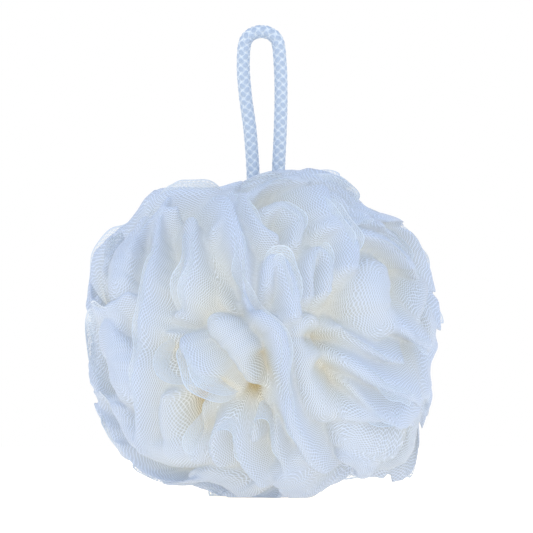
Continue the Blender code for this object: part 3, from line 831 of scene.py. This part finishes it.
# The free edges: the tube's thin outer hems, one layer of net with a firmer selvedge. Each grows
# out of a fold's crest and stands a little over it, and a broad band carries two.
FOOT = 0.0075  # how far under the crest a hem begins
HEM_RISE = 0.0022  # how far it stands over the crest
RIM_HEM_RISE = 0.0006  # and over the folds round the rim
HEM_ROWS = 8
HEM_STEP = 0.0009
HEM_PAIR = 0.0016  # how far the two hems of a band stand from its middle
HEM_FOOT_SPREAD = 0.4  # share of that distance at which their feet stand
HEM_END = 0.0010  # how much deeper a hem's ends lie
HEM_UNEVEN, HEM_UNEVEN_LENGTH = 0.0003, 0.013  # of its rise and fall
HEM_WAVE, HEM_WAVE_LENGTH, HEM_WAVE_SPREAD = 0.0006, 0.019, 0.004  # of its swing to the sides
HEM_FLOOR_ROOM = 0.0002


def hem(fold, number, offset, over):
    """One thin free edge of netting over a fold. Its foot lies FOOT under the crest and its top
    rises by over in the middle of its length and falls to the foot at its ends by the cube of
    the share of the way, while it waves up and down and from side to side."""
    length = route_length(fold.route)
    steps = max(8, round(length / HEM_STEP))
    share = np.linspace(0, 1, steps + 1)
    crest = smooth_line(fold.route, share)
    run = unit(np.gradient(crest, axis=0))
    side = unit(np.cross(crest, run))
    rise = np.linspace(0, 1, HEM_ROWS + 1)[None, :, None]
    s = (share * length)[:, None, None]
    full = 1 - np.abs(2 * share - 1)[:, None, None] ** 3
    uneven = HEM_UNEVEN * np.sin(s * 2 * np.pi / HEM_UNEVEN_LENGTH + number)
    height = over * (1 + 0.5 * math.sin(number * 1.9)) + uneven
    wavelength = HEM_WAVE_LENGTH + HEM_WAVE_SPREAD * math.sin(number * 3.1)
    wave = HEM_WAVE * rise**1.5 * np.sin(s * 2 * np.pi / wavelength + number * 1.3)
    spread = offset * (HEM_FOOT_SPREAD + (1 - HEM_FOOT_SPREAD) * rise)
    way = unit(crest[:, None] + side[:, None] * (spread + wave))
    skin = envelope(way)[..., None]
    under = FOOT * (1 - rise * full) - height * rise * full + HEM_END * (1 - full)
    below = skin * (1 - fold.reach) + under
    spot = leaned(way, below[..., 0] / POCKET_DEPTH) * (skin - below) + BALL_CENTRE
    spot[..., 2] = np.maximum(spot[..., 2], HEM_FLOOR_ROOM)
    row = offset * 3 + number * NET_SHIFT + rise * (FOOT + HEM_RISE)
    net = np.concatenate((s + 0 * rise, row + 0 * s), -1)
    # The depth under the crest sets the hem's painted shade.
    return spot, net, np.clip(under[..., 0], 0, None) / POCKET_DEPTH


def hems(name, folds, material):
    """All the free edges, as one object: one over each sharp fold, and two over each band. Each
    fold comes with the height of its hem over it."""
    points, nets, painted_shade_depths, edges, faces, total = [], [], [], [], [], 0
    for number, (fold, over) in enumerate(folds):
        if fold.half_width > BAND:
            continue
        for offset in (0.0,) if fold.half_width == EDGE else (-HEM_PAIR, HEM_PAIR):
            spot, net, depth = hem(fold, number, offset, over)
            rings, columns = spot.shape[:2]
            i, j = np.meshgrid(np.arange(rings - 1), np.arange(columns - 1), indexing="ij")
            a = (total + i * columns + j).ravel()
            faces.append(np.stack((a, a + columns, a + columns + 1, a + 1), 1))
            points.append(spot.reshape(-1, 3))
            nets.append(net.reshape(-1, 2))
            painted_shade_depths.append(depth.ravel())
            edges.append(np.tile(np.linspace(0, 1, columns), rings))
            total += rings * columns
    joined = map(np.concatenate, (points, faces, nets, painted_shade_depths, edges))
    return netting_object(name, *joined, material)


high_folds = [(fold, HEM_RISE) for fold in (*face_folds(), *loose_folds())]
low_folds = [(fold, RIM_HEM_RISE) for fold in rim_folds()]
# The hems are coloured lighter than the outer layer: painted highlight along the crests.
edges = hems(
    "netting_hems",
    high_folds + low_folds,
    netting_material(
        "netting, hems",
        crest=(0.55, 0.63, 0.75),
        wall=(0.59, 0.655, 0.74),
        floor=(0.71, 0.69, 0.61),
        least=0.22,
        most=0.95,
        thread=0.24,
    ),
)


# The floor is plain and pale, and a little warm, so that it lights the ball's underside warmly.
# To the camera it is as white as the background, but for the shadow under the ball.
FLOOR_SIZE = 3.0

floor_material, floor_tree, floor_shader = plain_material(
    "pale floor", (0.90, 0.83, 0.72), roughness=0.9, shine=0.0
)
glow = floor_tree.nodes.new("ShaderNodeEmission")
glow.inputs["Color"].default_value = (1.0, 0.93, 0.82, 1)
glow.inputs["Strength"].default_value = 0.60
both = floor_tree.nodes.new("ShaderNodeAddShader")
floor_tree.links.new(floor_shader.outputs[0], both.inputs[0])
floor_tree.links.new(glow.outputs[0], both.inputs[1])
floor_tree.links.new(both.outputs[0], floor_tree.nodes["Material Output"].inputs["Surface"])
half = FLOOR_SIZE / 2
corners = [(-half, -half, 0), (half, -half, 0), (half, half, 0), (-half, half, 0)]
floor = mesh_object("floor", corners, [(0, 1, 2, 3)], floor_material)


# Soft, slightly cool light from all round, and a little more of it from the upper left in front.
# To the camera, in reflections and through clear things, the sky is plain white.
world = bpy.data.worlds.new("studio")
bpy.context.scene.world = world
world.use_nodes = True
world_tree = world.node_tree
sky = world_tree.nodes["Background"]
sky.inputs["Color"].default_value = (0.84, 0.905, 1.0, 1)
sky.inputs["Strength"].default_value = 1.11
white = world_tree.nodes.new("ShaderNodeBackground")
white.inputs["Color"].default_value = (1, 1, 1, 1)
seen_by = world_tree.nodes.new("ShaderNodeLightPath")
seen = world_tree.nodes.new("ShaderNodeMath")
seen.operation = "MAXIMUM"
seen_at_all = world_tree.nodes.new("ShaderNodeMath")
seen_at_all.operation = "MAXIMUM"
either = world_tree.nodes.new("ShaderNodeMixShader")
world_tree.links.new(seen_by.outputs["Is Camera Ray"], seen.inputs[0])
world_tree.links.new(seen_by.outputs["Is Glossy Ray"], seen.inputs[1])
world_tree.links.new(seen.outputs[0], seen_at_all.inputs[0])
world_tree.links.new(seen_by.outputs["Is Transmission Ray"], seen_at_all.inputs[1])
world_tree.links.new(seen_at_all.outputs[0], either.inputs["Fac"])
world_tree.links.new(sky.outputs[0], either.inputs[1])
world_tree.links.new(white.outputs[0], either.inputs[2])
world_tree.links.new(either.outputs[0], world_tree.nodes["World Output"].inputs["Surface"])

for name, place, size, power in (
    ("key", (-0.45, -0.75, 0.70), 0.55, 1.0),
    ("fill", (0.60, -0.60, 0.25), 0.60, 0.5),
):
    light_data = bpy.data.lights.new(name, "AREA")
    light_data.size = size
    light_data.energy = power
    light = bpy.data.objects.new(name, light_data)
    light.location = place
    aim = np.array(place) - BALL_CENTRE
    tip = math.acos(aim[2] / np.linalg.norm(aim))
    light.rotation_euler = (tip, 0, math.atan2(aim[1], aim[0]) + math.pi / 2)
    bpy.context.scene.collection.objects.link(light)

# A ray passes many layers of net before it leaves the ball.
bpy.context.scene.cycles.transparent_max_bounces = 64
bpy.context.scene.view_settings.view_transform = "Standard"
